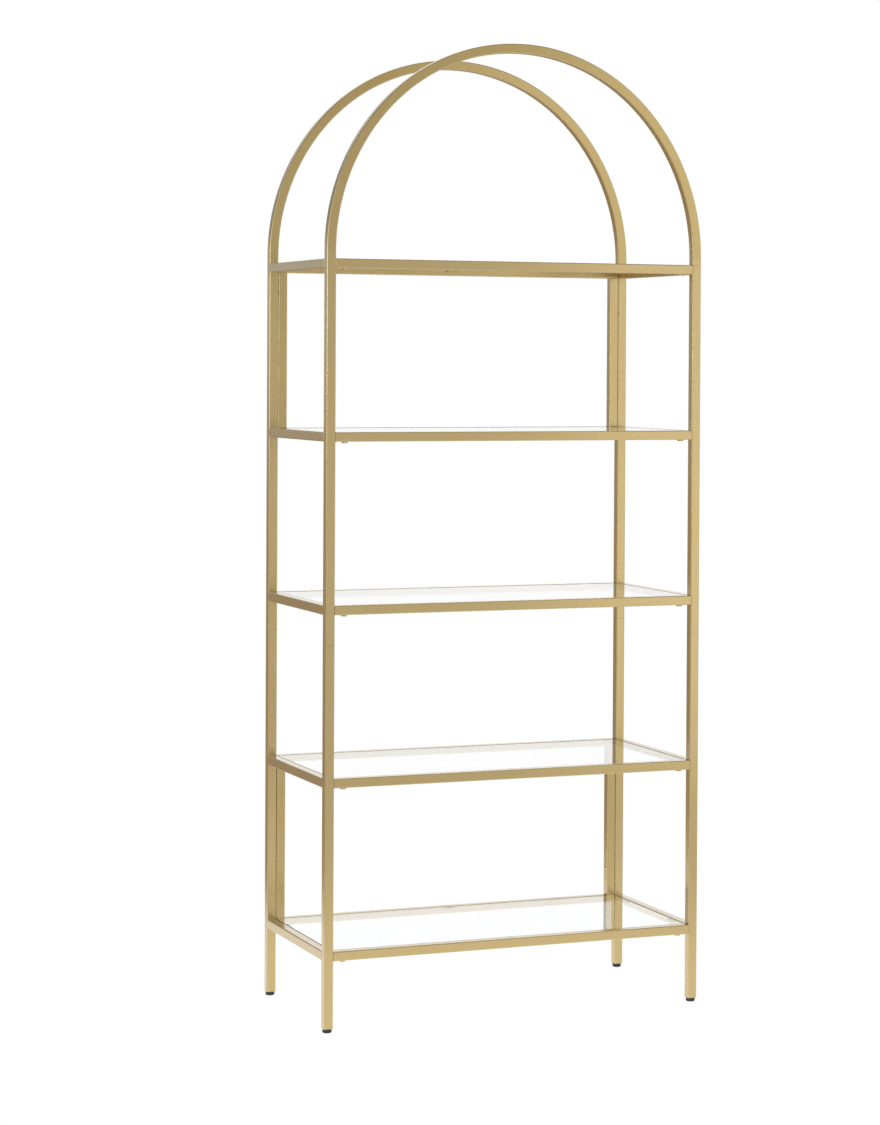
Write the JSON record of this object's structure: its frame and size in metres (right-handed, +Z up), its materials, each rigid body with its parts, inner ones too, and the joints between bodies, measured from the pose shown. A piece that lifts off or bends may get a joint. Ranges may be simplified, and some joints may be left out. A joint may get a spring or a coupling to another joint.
{
  "type": "etagere",
  "caption": "Tall open etagere of satin-gold square tube: bolted posts, framed glass shelves, open back frames and a pair of round arches over the top shelf.",
  "frame": {"origin": "on the floor, under the middle of the unit", "axes": "+X to the right of someone facing the front, +Y from front to back, +Z up"},
  "size_m": [0.813, 0.381, 1.956],
  "materials": {
    "gold_steel": "satin gold coating on square steel tube",
    "zinc_steel": "bright zinc plate",
    "black_plastic": "moulded, satin",
    "clear_glass": "polished faces, ground and polished edges",
    "clear_rubber": "soft clear dome pad"
  },
  "bodies": {
    "frame": {"front_left_lower_post": "gold_steel", "front_left_upper_post": "gold_steel", "front_right_lower_post": "gold_steel", "front_right_upper_post": "gold_steel", "rear_left_lower_post": "gold_steel", "rear_left_upper_post": "gold_steel", "rear_right_lower_post": "gold_steel", "rear_right_upper_post": "gold_steel", "front_arch": "gold_steel", "rear_arch": "gold_steel", "front_rail_1": "gold_steel", "rear_rail_1": "gold_steel", "left_rail_1": "gold_steel", "right_rail_1": "gold_steel", "front_rail_2": "gold_steel", "rear_rail_2": "gold_steel", "left_rail_2": "gold_steel", "right_rail_2": "gold_steel", "front_rail_3": "gold_steel", "rear_rail_3": "gold_steel", "left_rail_3": "gold_steel", "right_rail_3": "gold_steel", "front_rail_4": "gold_steel", "rear_rail_4": "gold_steel", "left_rail_4": "gold_steel", "right_rail_4": "gold_steel", "front_rail_5": "gold_steel", "rear_rail_5": "gold_steel", "left_rail_5": "gold_steel", "right_rail_5": "gold_steel", "upper_left_stile": "gold_steel", "upper_right_stile": "gold_steel", "lower_left_stile": "gold_steel", "lower_right_stile": "gold_steel", "glass_tabs": "gold_steel", "rail_bolts": "gold_steel", "frame_bolts": "gold_steel", "rail_tongues": "zinc_steel", "arch_spigots": "zinc_steel", "post_spigots": "zinc_steel", "frame_rivet_nuts": "zinc_steel", "foot_plugs": "black_plastic", "glass_bumpers": "clear_rubber"},
    "pane_1": {"glass_pane_1": "clear_glass"},
    "pane_2": {"glass_pane_2": "clear_glass"},
    "pane_3": {"glass_pane_3": "clear_glass"},
    "pane_4": {"glass_pane_4": "clear_glass"},
    "pane_5": {"glass_pane_5": "clear_glass"},
    "front_left_leveller": {"front_left_foot_pad": "black_plastic", "front_left_foot_stem": "zinc_steel"},
    "front_right_leveller": {"front_right_foot_pad": "black_plastic", "front_right_foot_stem": "zinc_steel"},
    "rear_left_leveller": {"rear_left_foot_pad": "black_plastic", "rear_left_foot_stem": "zinc_steel"},
    "rear_right_leveller": {"rear_right_foot_pad": "black_plastic", "rear_right_foot_stem": "zinc_steel"}
  },
  "joints": [
    {"name": "pane_1_lift", "type": "slide", "parent": "frame", "child": "pane_1", "axis": [0, 0, 1], "range_m": [0, 0.1]},
    {"name": "pane_2_lift", "type": "slide", "parent": "frame", "child": "pane_2", "axis": [0, 0, 1], "range_m": [0, 0.1]},
    {"name": "pane_3_lift", "type": "slide", "parent": "frame", "child": "pane_3", "axis": [0, 0, 1], "range_m": [0, 0.1]},
    {"name": "pane_4_lift", "type": "slide", "parent": "frame", "child": "pane_4", "axis": [0, 0, 1], "range_m": [0, 0.1]},
    {"name": "pane_5_lift", "type": "slide", "parent": "frame", "child": "pane_5", "axis": [0, 0, 1], "range_m": [0, 0.1]},
    {"name": "front_left_leveller_screw", "type": "slide", "parent": "frame", "child": "front_left_leveller", "axis": [0, 0, -1], "range_m": [0, 0.012]},
    {"name": "front_right_leveller_screw", "type": "slide", "parent": "frame", "child": "front_right_leveller", "axis": [0, 0, -1], "range_m": [0, 0.012]},
    {"name": "rear_left_leveller_screw", "type": "slide", "parent": "frame", "child": "rear_left_leveller", "axis": [0, 0, -1], "range_m": [0, 0.012]},
    {"name": "rear_right_leveller_screw", "type": "slide", "parent": "frame", "child": "rear_right_leveller", "axis": [0, 0, -1], "range_m": [0, 0.012]}
  ]
}
